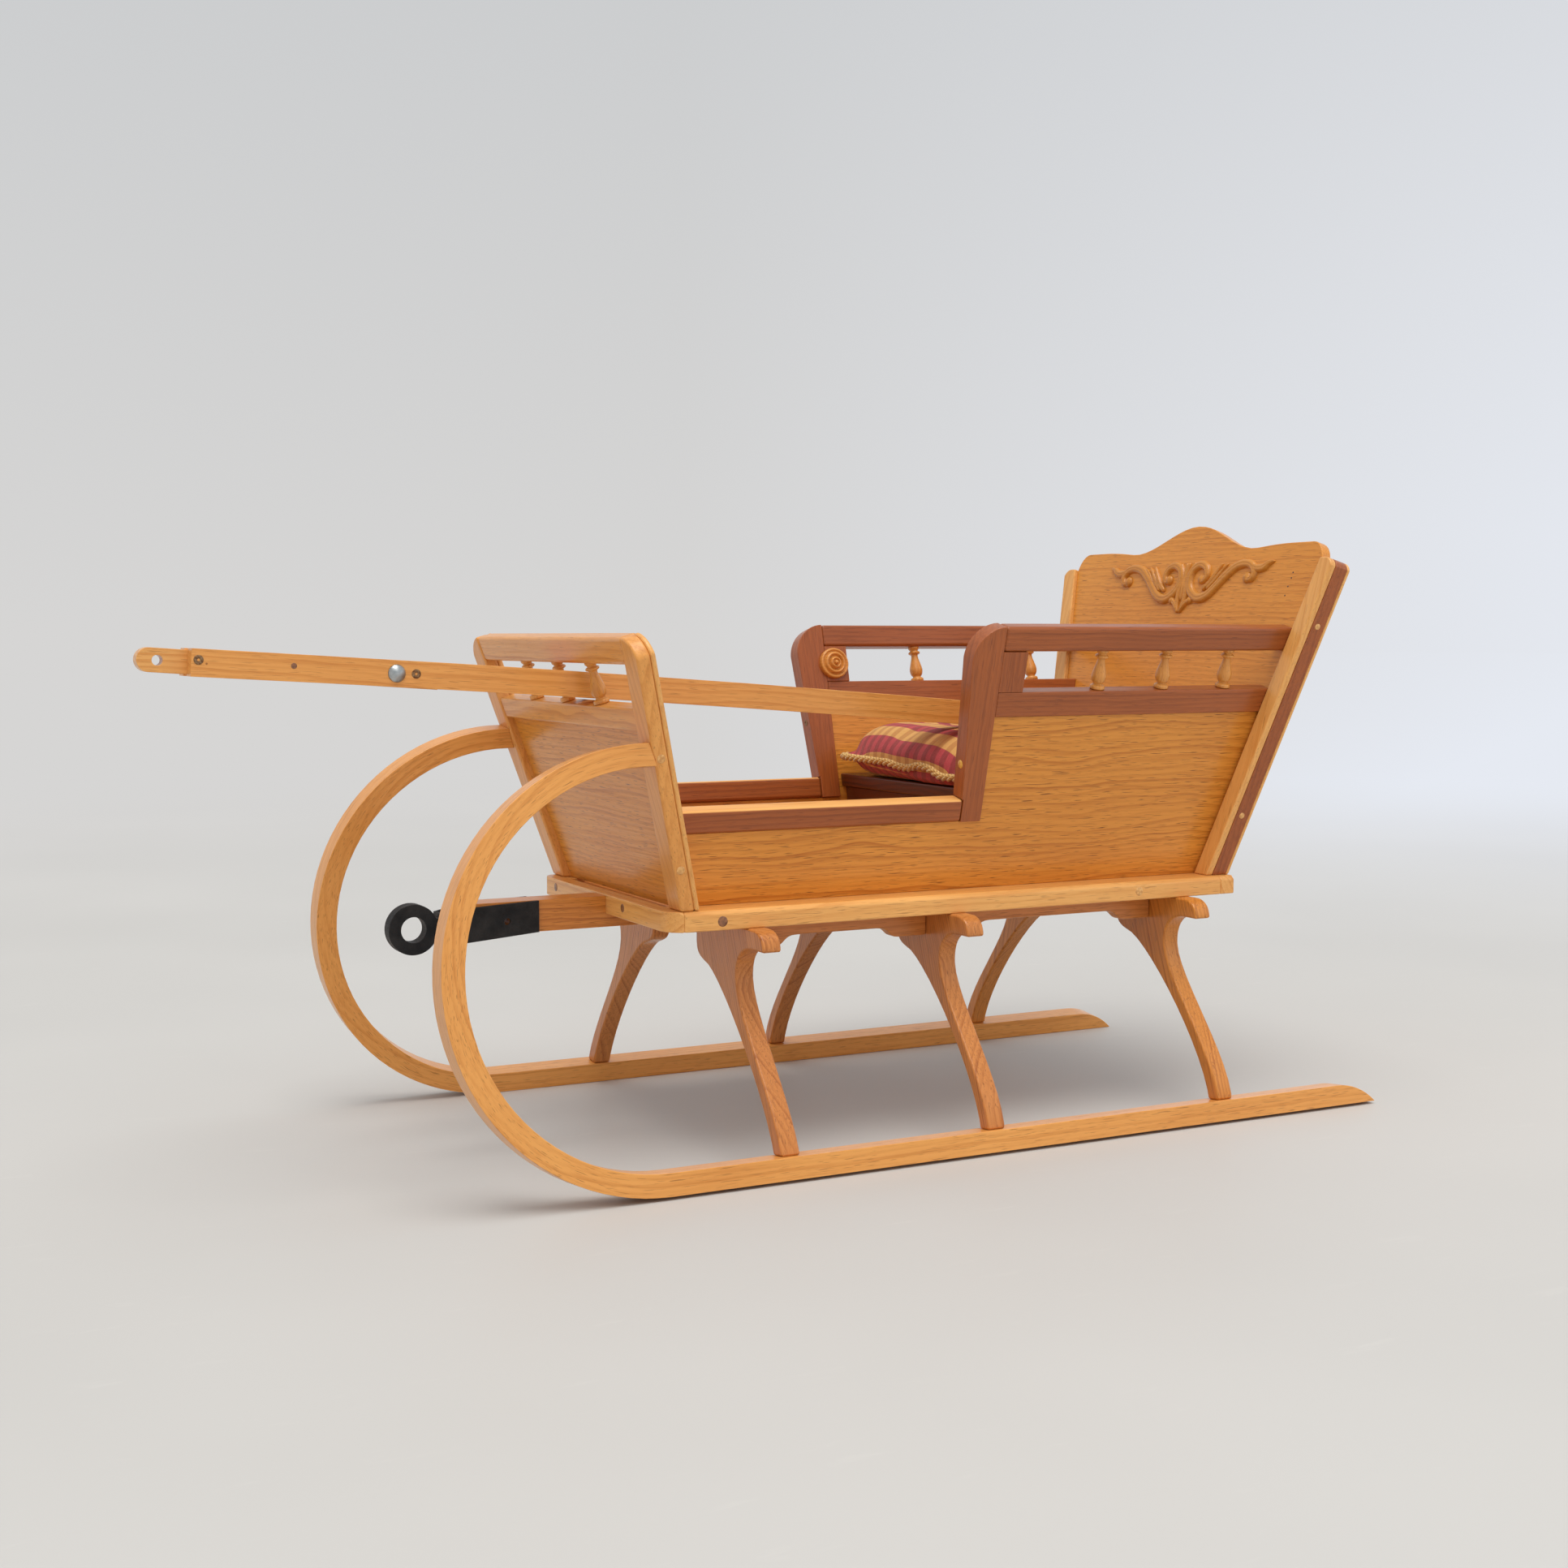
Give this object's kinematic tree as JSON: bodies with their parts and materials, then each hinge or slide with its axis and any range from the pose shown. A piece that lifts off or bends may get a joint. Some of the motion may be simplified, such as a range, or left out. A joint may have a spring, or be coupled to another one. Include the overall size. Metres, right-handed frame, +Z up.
{
  "type": "small horse drawn sleigh",
  "caption": "Varnished wooden one-seat sleigh on two bent runners with six curved legs, a flared body, a turned-spindle dash and arms, a carved back, a cushion and a stowed shaft.",
  "frame": {"origin": "the middle of the sleigh's length, stowed shaft included, midway between the runners, on the ground", "axes": "+X forwards along the runners, +Y to the sleigh's left, +Z up"},
  "size_m": [1.604, 0.652, 0.8107],
  "materials": {
    "beech": "clear glossy varnish",
    "red_beech": "clear varnish",
    "oak": "clear glossy varnish",
    "walnut": "clear glossy varnish",
    "pale_wood": "clear varnish",
    "turned_wood": "clear varnish",
    "carving": "clear varnish",
    "black_iron": "matt black forged iron",
    "zinc": "dull zinc plate",
    "cushion_cloth": "striped woven cloth"
  },
  "bodies": {
    "root": {"runner_left": "beech", "runner_right": "beech", "leg_front_left": "red_beech", "leg_front_right": "red_beech", "leg_middle_left": "red_beech", "leg_middle_right": "red_beech", "leg_rear_left": "red_beech", "leg_rear_right": "red_beech", "aprons_left": "red_beech", "aprons_right": "red_beech", "deck_rail_left": "beech", "deck_rail_right": "beech", "deck_cap_front": "beech", "deck_cap_rear": "beech", "floor_boards": "red_beech", "draw_beam": "red_beech", "draw_eye": "black_iron", "side_panel_left": "oak", "side_panel_right": "oak", "sill_rail_left": "walnut", "sill_rail_right": "walnut", "arm_post_left": "walnut", "arm_post_right": "walnut", "arm_lower_rail_left": "walnut", "arm_lower_rail_right": "walnut", "arm_top_rail_left": "walnut", "arm_top_rail_right": "walnut", "arm_filler_left": "walnut", "arm_filler_right": "walnut", "arm_spindles_left": "turned_wood", "arm_spindles_right": "turned_wood", "arm_rosette_left": "turned_wood", "arm_rosette_right": "turned_wood", "dash_post_left": "beech", "dash_post_right": "beech", "dash_strip_left": "pale_wood", "dash_strip_right": "pale_wood", "dash_top_rail": "beech", "dash_mid_rail": "beech", "dash_panel": "oak", "dash_spindles": "turned_wood", "back_batten_left": "beech", "back_batten_right": "beech", "back_post_left": "walnut", "back_post_right": "walnut", "back_strip_left": "pale_wood", "back_strip_right": "pale_wood", "back_panel": "oak", "back_ornament": "carving", "seat_board": "walnut", "seat_front": "walnut", "seat_cushion": "cushion_cloth"},
    "shaft": {"shaft_beam_left": "beech", "shaft_beam_right": "beech", "shaft_tongue": "beech", "shaft_bolt": "zinc"}
  },
  "joints": [
    {"name": "shaft_slide", "type": "slide", "parent": "root", "child": "shaft", "axis": [0.9974, 0, 0.0715], "range_m": [0, 0.2]}
  ]
}
